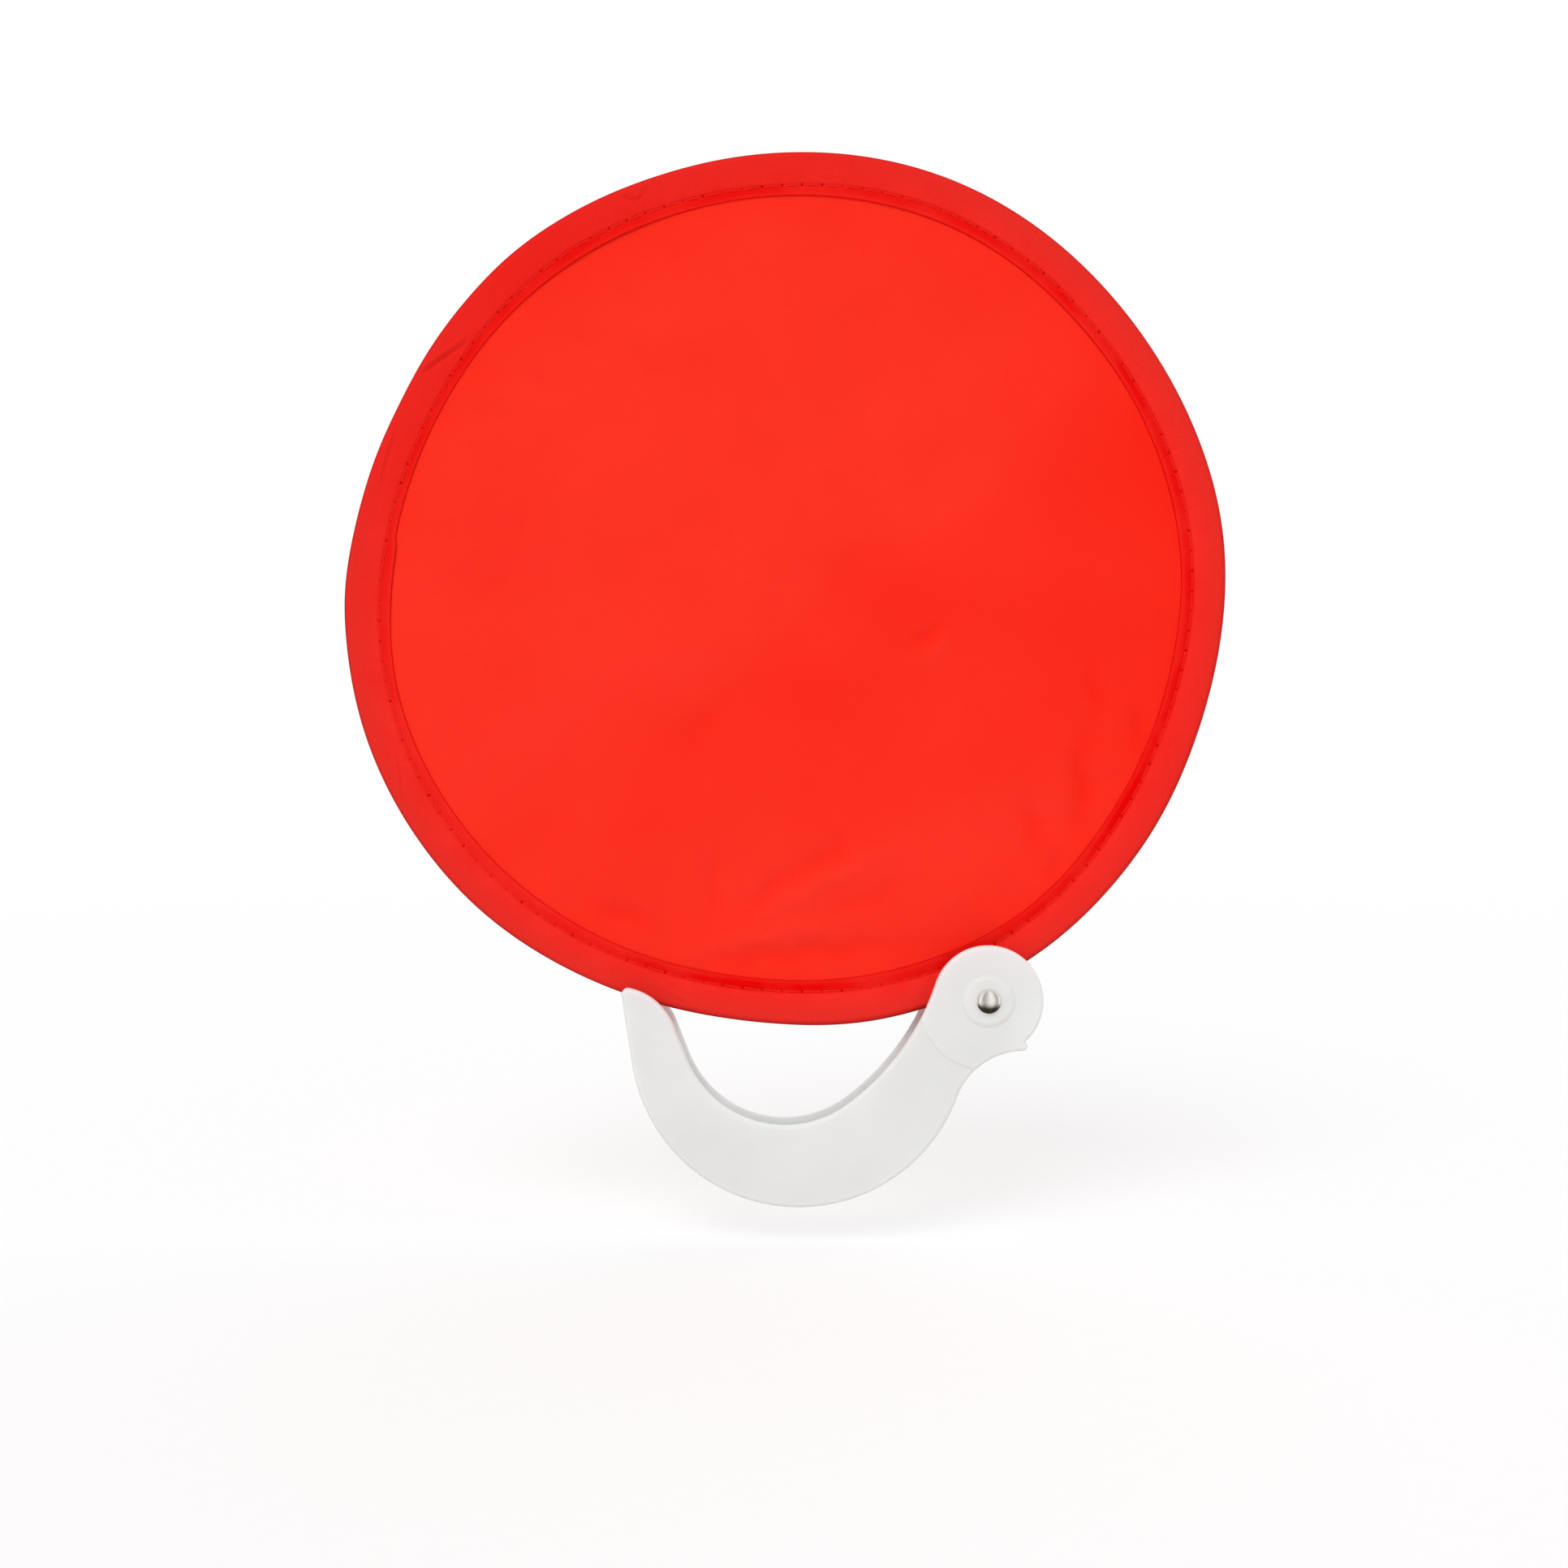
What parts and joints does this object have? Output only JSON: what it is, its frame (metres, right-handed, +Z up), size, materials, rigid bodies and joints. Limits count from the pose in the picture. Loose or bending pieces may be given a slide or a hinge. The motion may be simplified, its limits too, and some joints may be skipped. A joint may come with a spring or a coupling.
{
  "type": "pop-up hand fan",
  "caption": "Round cloth hand fan kept open by a sprung hoop in its hem, hinged by a rivet in a half-moon channel handle that stows it once it is twisted small.",
  "frame": {"origin": "middle of the grip: half way between the cheeks, and half way from the arch down to the handle's outer edge", "axes": "+X to the right seen from the front, towards the rivet; +Y away from the viewer, along the rivet; +Z up, from the grip to the fan"},
  "size_m": [0.2508, 0.0186, 0.2997],
  "materials": {
    "handle_plastic": "white moulded plastic, satin",
    "rivet_nickel": "polished nickel plate",
    "spring_steel": "bare spring steel",
    "panel_cloth": "thin red polyester, plain weave",
    "binding_tape": "red polyester tape, fine weave"
  },
  "bodies": {
    "handle": {"handle_front_shell": "handle_plastic", "handle_back_shell": "handle_plastic", "rivet_post": "rivet_nickel", "rivet_back_cap": "rivet_nickel", "pivot_bush": "spring_steel"},
    "fan": {"fan_panel": "panel_cloth", "edge_binding": "binding_tape", "spring_hoop": "spring_steel", "hoop_ferrule": "spring_steel", "pivot_tab": "binding_tape"}
  },
  "joints": [
    {"name": "fan_swing", "type": "hinge", "parent": "handle", "child": "fan", "pos_m": [0.05505, 0, 0.0467], "axis": [0, 1, 0], "range_deg": [0, 90]}
  ]
}
